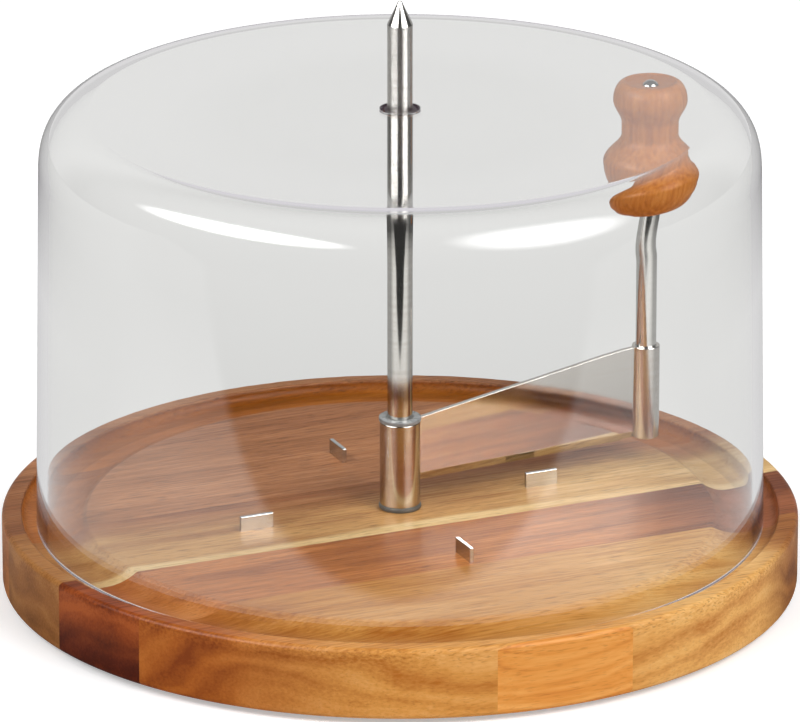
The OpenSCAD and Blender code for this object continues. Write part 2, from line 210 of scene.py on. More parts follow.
def acacia(name, tones, pith, ring, shift, stains_and_shade=()):
    """Acacia, planed, turned and oiled: wavy growth rings with a fine stretched fibre and open pores, which
    show as short dark lines along the board and as specks on its ends. The rings are bands of the distance
    from the pith, which wanders along the grain. The tones are light, middle, dark and the pores' own.
    Stains change a stave towards one side or end, and painted shade darkens it towards the bottom: each
    has an axis (0 along the grain, 1 across it, 2 up), where it begins, where it is full, and its light,
    middle and dark tones. The ones on the upright axis are the painted shade."""
    made = new_finish(name)
    tree = made.node_tree
    place = add(tree, "TexCoord", {})["Object"]
    grain = add(tree, "Mapping", {"Vector": place, "Rotation": (0, 0, -GRAIN_ANGLE)})["Vector"]
    log = add(tree, "VectorMath", {0: grain, 1: (shift * MM, -pith[0] * MM, -pith[1] * MM)})["Vector"]
    # Length and width of each layer of figure in millimetres, and its detail
    layers = {"wander": (110, 22, 2), "blotch": (150, 15, 2), "streak": (26, 0.7, 3), "pore": (5, 0.4, 1)}
    figure = {}
    for layer, (length, width, detail) in layers.items():
        stretch = (1 / (length * MM), 1 / (width * MM), 1 / (width * MM))
        drawn = add(tree, "VectorMath", {0: log, 1: stretch}, operation="MULTIPLY")["Vector"]
        figure[layer] = add(tree, "TexNoise", {"Vector": drawn, "Scale": 1.0, "Detail": detail})
    # How far the pith wanders, and how far the edge of each stain and each painted shade wavers on each axis
    wander = 22 * MM
    waver = (9 * MM, 9 * MM, 0)
    bent = add(tree, "VectorMath", {0: figure["wander"]["Color"], 1: (0, wander, wander), 2: log},
               operation="MULTIPLY_ADD")["Vector"]
    section = add(tree, "VectorMath", {0: bent, 1: (0, 1, 1)}, operation="MULTIPLY")["Vector"]
    distance = add(tree, "VectorMath", {0: section}, operation="LENGTH")["Value"]
    rings = add(tree, "TexNoise", {"W": distance, "Scale": 1 / (ring * MM), "Detail": 2.0},
                noise_dimensions="1D")
    figure["rings"] = rings
    sides = add(tree, "SeparateXYZ", {"Vector": grain})
    # Fibres and pores show less on the polished outside, from a little below the rim
    below_rim = 5
    face = add(tree, "MapRange", {"Value": sides["Z"], "From Min": (RIM_Z - below_rim) * MM,
                                  "From Max": RIM_Z * MM, "To Min": 0.4})["Result"]
    # The layers are added about a middle tone of one half
    weights = {"rings": 0.7, "blotch": 0.6, "streak": 0.75}
    tone = 0.5
    for layer, weight in weights.items():
        about = add(tree, "Math", {0: figure[layer]["Fac"], 1: 0.5}, operation="SUBTRACT")["Value"]
        if layer == "streak":
            about = add(tree, "Math", {0: about, 1: face}, operation="MULTIPLY")["Value"]
        tone = add(tree, "Math", {0: about, 1: weight, 2: tone}, operation="MULTIPLY_ADD")["Value"]
    *tones, pore = tones
    stops = (0.28, 0.5, 0.74)
    colour = add(tree, "ValToRGB", {"Fac": tone}, stops=zip(stops, tones))["Color"]
    for axis, begin, full, shifted_tones in stains_and_shade:
        edge = add(tree, "Math", {0: figure["wander"]["Fac"], 1: waver[axis], 2: sides[axis]},
                   operation="MULTIPLY_ADD")["Value"]
        share = add(tree, "MapRange", {"Value": edge, "From Min": begin * MM, "From Max": full * MM},
                    interpolation_type="SMOOTHSTEP")["Result"]
        tinted = add(tree, "ValToRGB", {"Fac": tone}, stops=zip(stops, shifted_tones))["Color"]
        colour = add(tree, "Mix", {"Factor": share, 6: colour, 7: tinted}, data_type="RGBA")[2]
    open_pore = add(tree, "MapRange", {"Value": figure["pore"]["Fac"], "From Min": 0.56, "From Max": 0.72,
                                       "To Max": 0.55})["Result"]
    open_pore = add(tree, "Math", {0: open_pore, 1: face}, operation="MULTIPLY")["Value"]
    colour = add(tree, "Mix", {"Factor": open_pore, 6: colour, 7: linear(pore)}, data_type="RGBA")[2]
    sheen = add(tree, "MapRange", {"Value": figure["streak"]["Fac"], "To Min": 0.28,
                                   "To Max": 0.46})["Result"]
    relief = add(tree, "Bump", {"Height": open_pore, "Strength": 0.25, "Distance": 0.15 * MM},
                 invert=True)["Normal"]
    wood = add(tree, "BsdfPrincipled", {"Base Color": colour, "Roughness": sheen, "Normal": relief,
                                        "IOR": 1.45, "Specular IOR Level": 0.12})
    add(tree, "OutputMaterial", {"Surface": wood["BSDF"]})
    return made


def turned_beech():
    """Lathe-turned and lacquered beech: straight grain up the knob with short dark flecks, a darker
    dished top, partly end grain and partly painted shade in the hollow, and a soft shine."""
    made = new_finish("lacquered beech")
    tree = made.node_tree
    place = add(tree, "TexCoord", {})["Object"]
    centred = add(tree, "VectorMath", {0: place, 1: (-CRANK[0] * MM, -CRANK[1] * MM, 0)})["Vector"]
    # Width and height of each layer of figure in millimetres
    layers = {"grain": (1.2, 26), "fleck": (0.45, 3)}
    figure = {}
    for layer, (width, height) in layers.items():
        stretch = (1 / (width * MM), 1 / (width * MM), 1 / (height * MM))
        drawn = add(tree, "VectorMath", {0: centred, 1: stretch}, operation="MULTIPLY")["Vector"]
        figure[layer] = add(tree, "TexNoise", {"Vector": drawn, "Scale": 1.0, "Detail": 3.0})["Fac"]
    colour = add(tree, "ValToRGB", {"Fac": figure["grain"]},
                 stops=((0.3, "#dc8e42"), (0.5, "#d07f34"), (0.7, "#be6e2a")))["Color"]
    fleck = add(tree, "MapRange", {"Value": figure["fleck"], "From Min": 0.58, "From Max": 0.72,
                                   "To Max": 0.35})["Result"]
    colour = add(tree, "Mix", {"Factor": fleck, 6: colour, 7: linear("#8a4a18")}, data_type="RGBA")[2]
    # The dished top grows dark, as end grain and painted shade, from the first of these radii in to the
    # second, and from the first of these depths below the knob's top up to the second
    dark_dish_radii = (8.1, 6.6)
    dark_dish_depths = (3, 2)
    out = add(tree, "VectorMath", {0: centred, 1: (1, 1, 0)}, operation="MULTIPLY")["Vector"]
    out = add(tree, "VectorMath", {0: out}, operation="LENGTH")["Value"]
    up = add(tree, "SeparateXYZ", {"Vector": place})["Z"]
    top = heights("crank_knob")[1]
    dish = add(tree, "MapRange", {"Value": out, "From Min": dark_dish_radii[0] * MM,
                                  "From Max": dark_dish_radii[1] * MM, "To Max": 0.6})["Result"]
    high = add(tree, "MapRange", {"Value": up, "From Min": (top - dark_dish_depths[0]) * MM,
                                  "From Max": (top - dark_dish_depths[1]) * MM})["Result"]
    dish = add(tree, "Math", {0: dish, 1: high}, operation="MULTIPLY")["Value"]
    # Darker dish: end grain, and painted shade in the hollow
    colour = add(tree, "Mix", {"Factor": dish, 6: colour, 7: linear("#a05a24")}, data_type="RGBA")[2]
    shine = add(tree, "MapRange", {"Value": figure["grain"], "To Min": 0.26, "To Max": 0.4})["Result"]
    wood = add(tree, "BsdfPrincipled", {"Base Color": colour, "Roughness": shine, "IOR": 1.5,
                                        "Specular IOR Level": 0.1})
    add(tree, "OutputMaterial", {"Surface": wood["BSDF"]})
    return made


def steel(name, tone, roughness, line, line_axis, angle=0.0, drawn_out=0.0, worn=None):
    """Stainless steel that was ground and polished: a bright metal whose fine lines, one line wide across
    line_axis and long along the others, spread its reflections a little. The lines are drawn coarser than
    the real grit, so that they show. Turned steel has rings too fine to see, which draw its highlights out
    into upright bands. Where a sliding piece has worn it, below a height, it is smoother by a factor."""
    # Length of the lines, and half the height over which the wear fades out, in millimetres
    line_length = 60
    wear_fade = 5
    made = new_finish(name)
    tree = made.node_tree
    place = add(tree, "TexCoord", {})["Object"]
    along = add(tree, "Mapping", {"Vector": place, "Rotation": (0, 0, -angle)})["Vector"]
    stretch = [1 / (line_length * MM)] * 3
    stretch[line_axis] = 1 / (line * MM)
    drawn = add(tree, "VectorMath", {0: along, 1: stretch}, operation="MULTIPLY")["Vector"]
    lines = add(tree, "TexNoise", {"Vector": drawn, "Scale": 1.0, "Detail": 3.0})["Fac"]
    spread = add(tree, "MapRange", {"Value": lines, "From Min": 0.3, "From Max": 0.7,
                                    "To Min": roughness * 0.95, "To Max": roughness * 1.05})["Result"]
    if worn:
        height, smoother = worn
        up = add(tree, "SeparateXYZ", {"Vector": place})["Z"]
        share = add(tree, "MapRange", {"Value": up, "From Min": (height - wear_fade) * MM,
                                       "From Max": (height + wear_fade) * MM, "To Min": smoother})["Result"]
        spread = add(tree, "Math", {0: spread, 1: share}, operation="MULTIPLY")["Value"]
    colour = add(tree, "Mix", {"Factor": lines, 6: linear(tone), 7: linear("#e6e4e0")}, data_type="RGBA")[2]
    # A little off the upright, so that it is never square to a level face
    upright = add(tree, "CombineXYZ", {"X": 0.01, "Y": 0.01, "Z": 1.0})["Vector"]
    metal = add(tree, "BsdfPrincipled", {"Base Color": colour, "Metallic": 1.0, "Roughness": spread,
                                         "Anisotropic": drawn_out, "Tangent": upright})
    add(tree, "OutputMaterial", {"Surface": metal["BSDF"]})
    return made


def moulded(name, tone, mottle, roughness, grit):
    """Moulded plastic or rubber: an even colour with a slight mottle, and a fine grit from the mould."""
    made = new_finish(name)
    tree = made.node_tree
    place = add(tree, "TexCoord", {})["Object"]
    grain = add(tree, "TexNoise", {"Vector": place, "Scale": 1 / (grit * MM), "Detail": 4.0})["Fac"]
    colour = add(tree, "Mix", {"Factor": grain, 6: linear(tone), 7: linear(mottle)}, data_type="RGBA")[2]
    relief = add(tree, "Bump", {"Height": grain, "Strength": 0.1, "Distance": 0.05 * MM})["Normal"]
    spread = add(tree, "MapRange", {"Value": grain, "To Min": roughness * 0.8,
                                    "To Max": roughness * 1.2})["Result"]
    body = add(tree, "BsdfPrincipled", {"Base Color": colour, "Roughness": spread, "Normal": relief,
                                        "IOR": 1.5})
    add(tree, "OutputMaterial", {"Surface": body["BSDF"]})
    return made


def clear_acrylic():
    """Cast clear acrylic, polished: almost colourless, bright where it bends light at its edges, with a
    very slow ripple from the mould. Light passes straight through it to what stands inside. Where a ray has
    been mirrored twice, a painted glow stands in for light caught in the wall: pale towards the top edge,
    and a dark purple painted shade near the hole and the foot."""
    # Width of the ripple, and the radii and heights between which the painted glow grows, in millimetres
    ripple_width = 45
    painted_glow_radii = (45, 65)
    painted_glow_heights = (22, 28)
    made = new_finish("clear acrylic")
    tree = made.node_tree
    place = add(tree, "TexCoord", {})["Object"]
    ripple = add(tree, "TexNoise", {"Vector": place, "Scale": 1 / (ripple_width * MM),
                                    "Detail": 0.0})["Fac"]
    relief = add(tree, "Bump", {"Height": ripple, "Strength": 0.03, "Distance": 1 * MM})["Normal"]
    clear = add(tree, "BsdfPrincipled", {"Base Color": linear("#f8f8f6"), "Roughness": 0.0, "IOR": 1.49,
                                         "Transmission Weight": 1.0, "Normal": relief})
    passing = add(tree, "BsdfTransparent", {"Color": linear("#f8f8f8")})
    # Light that goes in and out goes straight on, and so do mirror images of what stands inside, whose rays
    # have passed the wall's two faces. Rays mirrored twice meet a painted glow, which stands in for light
    # caught in the wall
    path = add(tree, "LightPath", {})
    inside = add(tree, "Math", {0: path["Transmission Depth"], 1: 2.0, 2: 0.5},
                 operation="COMPARE")["Value"]
    mirrored = add(tree, "Math", {0: path["Is Glossy Ray"], 1: inside}, operation="MULTIPLY")["Value"]
    painted_glow_rays = add(tree, "Math", {0: path["Glossy Depth"], 1: 1.5}, operation="GREATER_THAN")["Value"]
    straight = path["Is Shadow Ray"]
    for ray in (path["Is Diffuse Ray"], mirrored):
        straight = add(tree, "Math", {0: straight, 1: ray}, operation="MAXIMUM")["Value"]
    flat = add(tree, "VectorMath", {0: place, 1: (1, 1, 0)}, operation="MULTIPLY")["Vector"]
    out = add(tree, "VectorMath", {0: flat}, operation="LENGTH")["Value"]
    high = add(tree, "SeparateXYZ", {"Vector": place})["Z"]
    rim = add(tree, "MapRange", {"Value": out, "From Min": painted_glow_radii[0] * MM,
                                 "From Max": painted_glow_radii[1] * MM})["Result"]
    foot = add(tree, "MapRange", {"Value": high, "From Min": painted_glow_heights[0] * MM,
                                  "From Max": painted_glow_heights[1] * MM})["Result"]
    rim = add(tree, "Math", {0: rim, 1: foot}, operation="MULTIPLY")["Value"]
    # Painted glow: pale lilac towards the top edge, and dark purple as painted shade near the hole and the
    # foot
    shine = add(tree, "Mix", {"Factor": rim, 6: linear("#453a40"), 7: linear("#dad7dd")},
                data_type="RGBA")[2]
    painted_glow = add(tree, "Emission", {"Color": shine})
    wall = add(tree, "MixShader", {0: painted_glow_rays, 1: clear["BSDF"], 2: painted_glow["Emission"]})
    both = add(tree, "MixShader", {0: straight, 1: wall["Shader"], 2: passing["BSDF"]})
    add(tree, "OutputMaterial", {"Surface": both["Shader"]})
    return made


# Board: the staves keep their CAD shapes. After its tones, each has the place of its pith across the grain
# and up, the spacing of its rings and a shift along the grain, in millimetres

STAVES = {
    "board_stave_1": acacia("orange acacia", ("#e8a65a", "#dd9243", "#b9642a", "#8a4a1c"), (-118, 60),
                            4, 40),
    "board_stave_2": acacia("golden acacia", ("#e4aa66", "#d39348", "#b06824", "#85491b"), (-80, -40), 9, 0,
                            stains_and_shade=((0, 10, 50, ("#efc07c", "#e0a75e", "#bd7a38")),
                                    (0, -40, -88, ("#c0702a", "#a8591c", "#813a0c")),
                                    (0, 72, 94, ("#b27434", "#9e5f24", "#764014")))),
    "board_stave_3": acacia("red acacia", ("#d88e50", "#c4783a", "#a05c2a", "#5a2c14"), (-30, -60), 7, 90,
                            stains_and_shade=((0, 30, 90, ("#a8603a", "#925026", "#6c3416")),
                                    (0, -74, -96, ("#a8531e", "#8e3f10", "#632606")),
                                    # Painted shade: the stave's side darkens from 17 mm above the table down
                                    # to 5 mm
                                    (2, 17, 5, ("#702b0e", "#521a05", "#330b02")))),
    "board_stave_4": acacia("honey acacia", ("#d09e62", "#bb8650", "#985f30", "#633e1e"), (10, -70), 8, 160,
                            stains_and_shade=((0, 20, 70, ("#e4c088", "#d2a668", "#ae7a42")),
                                    (1, 8, 22, ("#b67a4a", "#a06238", "#7c4824")),
                                    (1, -7.5, -10, ("#f0d09a", "#eac68c", "#d4a866")),
                                    (0, -84, -104, ("#ae753c", "#955d2a", "#704116")))),
    "board_stave_5": acacia("brown acacia", ("#cc8f62", "#b6784c", "#8e5a36", "#4a2817"), (50, -50), 8, 230,
                            stains_and_shade=((0, -66, -92, ("#a0663a", "#885026", "#643614")),
                                    # Painted shade: a deeper, darker orange from just below the rim down,
                                    # over the groove
                                    (2, 21.3, 20.3, ("#c07838", "#ac6426", "#8a4a18")))),
    "board_stave_6": acacia("back acacia", ("#c68a5c", "#b07248", "#885432", "#44210a"), (90, 70), 8, 310,
                            # Painted shade: a deeper, darker orange from just below the rim down, over the
                            # groove
                            stains_and_shade=((2, 21.3, 20.3, ("#bc7026", "#a85e16", "#84450a")),)),
}
for node, finish in STAVES.items():
    dress(node, finish)


# Spindle and its fixing. Each steel has its tone, its roughness, the width of its lines in millimetres and
# the axis across them

polished = steel("turned stainless steel", "#c6c2bc", 0.235, 1.2, 2, drawn_out=1.0, worn=(117, 0.22))
rod_steel = steel("polished steel rod", "#dcdad6", 0.06, 1.2, 2, drawn_out=1.0)
tube_steel = steel("polished steel tube", "#d4cbc2", 0.11, 1.2, 2, drawn_out=1.0)
zinc = steel("zinc-plated steel", "#aeb1b3", 0.34, 0.8, 0)


def spindle_outline():
    """Stud, shoulder, shaft, cone and rounded point, from the axis back to the axis."""
    bottom, top = heights("spindle")
    shaft = radius("spindle")
    stud = 2.5
    seat_depth = 8
    seat = RIM_Z - seat_depth
    cone = 6.5
    point = 0.5
    corners = [(0, bottom), (stud, bottom), (stud, seat), (shaft, seat), (shaft, top - cone),
               (point * 0.9, top), (0, top)]
    return eased(corners, [0, 0.4, 0, 0.4, 0.6, point * 0.6, 0])


piece(turned("spindle_turned", spindle_outline()), "base", "spindle", polished)
for node in ("spindle_washer", "spindle_nut"):
    dress(node, zinc)


# Prongs

prong_steel = steel("cut steel strip", "#c8ccd2", 0.22, 0.5, 2)
PRONG_SIZE = (9.6, 1.2)
PRONG_EDGE = 0.2
PRONG_RING = 43
for number in range(4):
    angle = GRAIN_ANGLE + number * math.pi / 2
    bottom, top = heights(f"prong_{number + 1}")
    place = (PRONG_RING * math.cos(angle), PRONG_RING * math.sin(angle), (bottom + top) / 2)
    strip = plate(f"prong_strip_{number + 1}", (*PRONG_SIZE, top - bottom), PRONG_EDGE, place, angle)
    piece(strip, "base", f"prong_{number + 1}", prong_steel)


# Feet

rubber = moulded("black rubber", "#2d2a28", "#3f3b38", 0.7, 0.5)
for number in range(4):
    node = f"foot_{number + 1}"
    bottom, top = heights(node)
    corners = [(0, bottom), (radius(node), bottom), (radius(node), top), (0, top)]
    pad = turned(f"foot_pad_{number + 1}", eased(corners, [0, 0.6, 0.2, 0]), middle(node), facets=64)
    piece(pad, "base", node, rubber)


# Hub: two bushes, the sleeve on them

# The lower bush takes a darker copy of the same grey acetal: painted shade at the sleeve's foot
BUSH_PLASTIC = {"lower_bush": moulded("grey acetal in painted shade", "#5f5f5c", "#74736f", 0.35, 1.5),
                "upper_bush": moulded("pale grey acetal", "#929597", "#a4a7a8", 0.28, 1.5)}
BUSH_BORE = 3.55
BUSH_WALL = 0.85
FLANGE_T = 1.2


def bush_outline(node, flange_down):
    """Flange, step, spigot, bore and its chamfered mouth, upright or turned over."""
    bottom, top = heights(node)
    tall = top - bottom
    spigot = BUSH_BORE + BUSH_WALL
    corners = [(BUSH_BORE + BUSH_WALL / 2, 0), (radius(node), 0), (radius(node), FLANGE_T),
               (spigot, FLANGE_T), (spigot, tall), (BUSH_BORE, tall), (BUSH_BORE, BUSH_WALL / 2)]
    outline = eased(corners, [0.1, 0.3, 0.3, 0, 0.2, 0.1, 0.1])
    z = outline[:, 1] + bottom if flange_down else top - outline[:, 1]
    return np.stack([outline[:, 0], z], axis=-1)


for node, flange_down in (("lower_bush", True), ("upper_bush", False)):
    bush = turned(node + "_moulding", bush_outline(node, flange_down), tube=True)
    piece(bush, "bushes", node, BUSH_PLASTIC[node])


def tube_outline(node, wall, edge):
    """Wall of a straight tube with its four edges broken."""
    outer = radius(node)
    bottom, top = heights(node)
    corners = [(outer, bottom), (outer, top), (outer - wall, top), (outer - wall, bottom)]
    return eased(corners, [edge] * 4)


SLEEVE_WALL = 1.15
sleeve = turned("hub_tube", tube_outline("hub_sleeve", SLEEVE_WALL, edge=0.3), tube=True)
piece(sleeve, "scraper", "hub_sleeve", tube_steel)


# Blade

# The blade's warm tint is partly a painted reflection of the wood it faces
blade_steel = steel("polished blade steel", "#e2dad2", 0.06, 0.35, 2, BLADE_ANGLE)


def blade_grid(stations=60):
    """The blade's section carried from the sleeve to the socket. The section is a plate with eased top
    edges and one side ground to a bevel; its top is a straight rise that levels out in a parabola at the
    socket, and its foot steps up before the socket, with the bevel cut where the foot meets it."""
    thick = 1.5
    # The flat that is left at the cutting edge, and the bevel's height
    left = 0.4
    bevel = 2.4
    # The top begins this far below the sleeve's, and it bends at this share of the reach
    drop = 0.8
    bend = 0.82
    # The foot's step, which is twice as long as it is high, and its distance from the socket
    step = 0.4
    relief = 4.0
    # The blade's ends are sunk this far into the sleeve and the socket
    inside = 0.3
    foot = heights("scraper_blade")[0]
    socket_foot, socket_top = heights("crank_socket")
    low = heights("hub_sleeve")[1] - drop
    first = radius("hub_sleeve") - inside
    last = REACH - radius("crank_socket") + inside
    step_at = REACH - radius("crank_socket") - relief
    along = np.sort(np.append(np.linspace(first, last, stations), [step_at, step_at + 2 * step]))
    share = along / REACH
    past_bend = np.maximum(share - bend, 0)
    rise = (share - past_bend ** 2 / (2 * (1 - bend))) * 2 / (1 + bend)
    top = low + (socket_top - low) * rise
    bottom = np.interp(along, [step_at, step_at + 2 * step], [foot, socket_foot])
    tall = low - foot
    half = thick / 2
    section = eased([(half, 0), (half, tall), (-half, tall), (-half, bevel), (half - left, 0)],
                    [0.12, 0.08, 0.08, 0.3, 0.12], steps=5)
    across, up = section.T[:, None, :]
    # Points well above the bevel follow the top, and the others follow the foot
    upper = up > bevel * 1.5
    z = np.where(upper, top[:, None] + up - tall, np.maximum(foot + up, bottom[:, None]))
    ground = -half + (thick - left) * np.clip((foot + bevel - z) / bevel, 0, 1)
    y = np.where(upper, across, np.maximum(across, ground))
    x = along[:, None] + 0 * across
    grid = np.stack([x * math.cos(BLADE_ANGLE) - y * math.sin(BLADE_ANGLE),
                     x * math.sin(BLADE_ANGLE) + y * math.cos(BLADE_ANGLE), z], axis=-1)
    ends = grid[[0, -1]].mean(axis=1, keepdims=True) + np.zeros_like(grid[:1])
    return np.concatenate([ends[:1], grid, ends[1:]])


piece(skin("blade_ground", blade_grid(), False), "scraper", "scraper_blade", blade_steel)


# Crank: socket, rod, rivet and knob

SOCKET_WALL = 1.0
socket = turned("socket_tube", tube_outline("crank_socket", SOCKET_WALL, edge=0.25), CRANK, tube=True)
piece(socket, "scraper", "crank_socket", tube_steel)


def rod_outline():
    """Rod, shoulder under the knob and thinner pin with the rivet's hole, from the axis back to the axis."""
    rod, pin, hole, hole_depth = 2.95, 1.9, 1.13, 9.0
    knob_gap = 0.05
    bottom, top = heights("crank_rod")
    shoulder = heights("crank_knob")[0] - knob_gap
    corners = [(0, bottom), (rod, bottom), (rod, shoulder), (pin, shoulder), (pin, top), (hole, top),
               (hole, top - hole_depth), (0, top - hole_depth)]
    return eased(corners, [0, 0.4, 0.3, 0, 0.1, 0, 0, 0])


rod = turned("rod_turned", rod_outline(), CRANK, facets=96)
piece(rod, "scraper", "crank_rod", rod_steel)


def rivet_outline(steps=16):
    """Shank and the domed head: an arc of the ball through the head's rim and its top. The head's underside
    ends a little inside its rim."""
    head, rise, shank, rim = 2.35, 1.5, 1.1, 0.15
    bottom, top = heights("knob_rivet")
    ball = (head * head + rise * rise) / (2 * rise)
    angle = np.linspace(math.asin(head / ball), 0, steps)
    dome = np.stack([ball * np.sin(angle), top - ball + ball * np.cos(angle)], axis=-1)
    below = [(0, bottom), (shank, bottom), (shank, top - rise), (head - rim, top - rise)]
    return np.concatenate([below, dome])


rivet_steel = steel("polished rivet steel", "#a8a6a2", 0.1, 0.5, 2)
rivet = turned("rivet_headed", rivet_outline(), CRANK, facets=64)
piece(rivet, "scraper", "knob_rivet", rivet_steel)


def knob_outline(steps=24):
    """Elliptic foot and crown, a straight waist with half cosine waves to the skirt and to the head, then
    the dished top, the rivet's flat and the bore."""
    # Radii, with the heights above the knob's foot where the skirt, the waist and the head have them
    foot_r, bore, flat = 6.0, 1.95, 2.4
    skirt, waist, head = (12.9, 10.0), (7.9, 17.8, 21.0), (10.3, 27.7)
    dish, dish_depth = 7.1, 1.2
    bottom, top = heights("crank_knob")
    tall = top - bottom
    quarter = np.linspace(0, np.pi / 2, steps)
    wave = np.linspace(0, 1, steps)
    foot = np.stack([foot_r + (skirt[0] - foot_r) * np.sin(quarter), skirt[1] * (1 - np.cos(quarter))], -1)
    swells = []
    for (r0, z0), (r1, z1) in ((skirt, waist[:2]), (waist[::2], head)):
        r = r0 + (r1 - r0) * (1 - np.cos(np.pi * wave)) / 2
        swells.append(np.stack([r, z0 + (z1 - z0) * wave], -1))
    crown = np.stack([dish + (head[0] - dish) * np.cos(quarter),
                      head[1] + (tall - head[1]) * np.sin(quarter)], -1)
    lip = np.stack([flat + (dish - flat) * (1 + np.cos(np.pi * wave)) / 2,
                    tall - dish_depth * np.sin(np.pi / 2 * wave)], -1)
    outline = np.concatenate([[(bore, 0)], foot, *swells, crown, lip, [(bore, tall - dish_depth)]])
    return outline + (0, bottom)


knob = turned("knob_turned", knob_outline(), CRANK, tube=True)
piece(knob, "knob", "crank_knob", turned_beech())


# Cover

def sprung(corner, along_wall, along_top, rounding, steps, ramp=0.4, fine=600):
    """Rounded corner from a wall to a top: the curvature grows evenly from nothing over the ramp's share of
    the curve and then stays the same. It ends on the top where an arc with the rounding's radius would."""
    share = np.linspace(0, 1, fine)
    grown = np.append(0, np.cumsum(np.minimum(share / ramp, 1)))[:-1]
    start = math.atan2(*along_wall[::-1])
    turn = (math.atan2(*along_top[::-1]) - start + math.pi) % (2 * math.pi) - math.pi
    heading = start + turn * grown / grown[-1]
    path = np.cumsum(np.stack([np.cos(heading), np.sin(heading)], axis=-1), axis=0)
    path -= path[0]
    on_wall, on_top = np.linalg.solve(np.stack([along_wall, along_top], axis=-1), path[-1])
    size = rounding * math.tan(abs(turn) / 2) / on_top
    points = corner - along_wall * on_wall * size + path * size
    return points[np.linspace(0, fine - 1, steps).astype(int)]


def cover_outline(steps=32):
    """Drafted wall, rounded top edge, flat top and hole, outside and inside, with polished edges."""
    wall, hole, edge = 3.0, 5.25, 0.5
    outer_round, inner_round = 13.5, 11.0
    draft = math.radians(1.05)
    bottom, top = heights("cover")
    under = top - wall
    outer = radius("cover")
    inner = outer - wall / math.cos(draft)
    lean = math.tan(draft)
    corners = np.array([(outer, bottom), (outer - (top - bottom) * lean, top), (hole, top), (hole, under),
                        (inner - (under - bottom) * lean, under), (inner, bottom)])
    outline = eased(corners, [edge, 0, edge, edge, 0, edge], steps).reshape(len(corners), steps, 2)
    along_wall = np.array([-math.sin(draft), math.cos(draft)])
    along_top = np.array([-1.0, 0.0])
    outline[1] = sprung(corners[1], along_wall, along_top, outer_round, steps)
    outline[4] = sprung(corners[4], along_wall, along_top, inner_round, steps)[::-1]
    return outline.reshape(-1, 2)


cover = turned("cover_moulding", cover_outline(), facets=256, tube=True)
piece(cover, "lid", "cover", clear_acrylic())


# Stage: pale floor, white surroundings, two softboxes, two glints and the camera

def rays(tree):
    """What a shader asks about the ray that meets it: its light path, whether it makes a picture, as a ray
    from the camera, a mirror or the cover does, and whether a mirror has turned it."""
    path = add(tree, "LightPath", {})
    seen = add(tree, "Math", {0: path["Is Camera Ray"], 1: path["Is Glossy Ray"]},
               operation="MAXIMUM")["Value"]
    seen = add(tree, "Math", {0: seen, 1: path["Is Transmission Ray"]}, operation="MAXIMUM")["Value"]
    mirrored = add(tree, "Math", {0: path["Glossy Depth"], 1: 0.5}, operation="GREATER_THAN")["Value"]
    return path, seen, mirrored


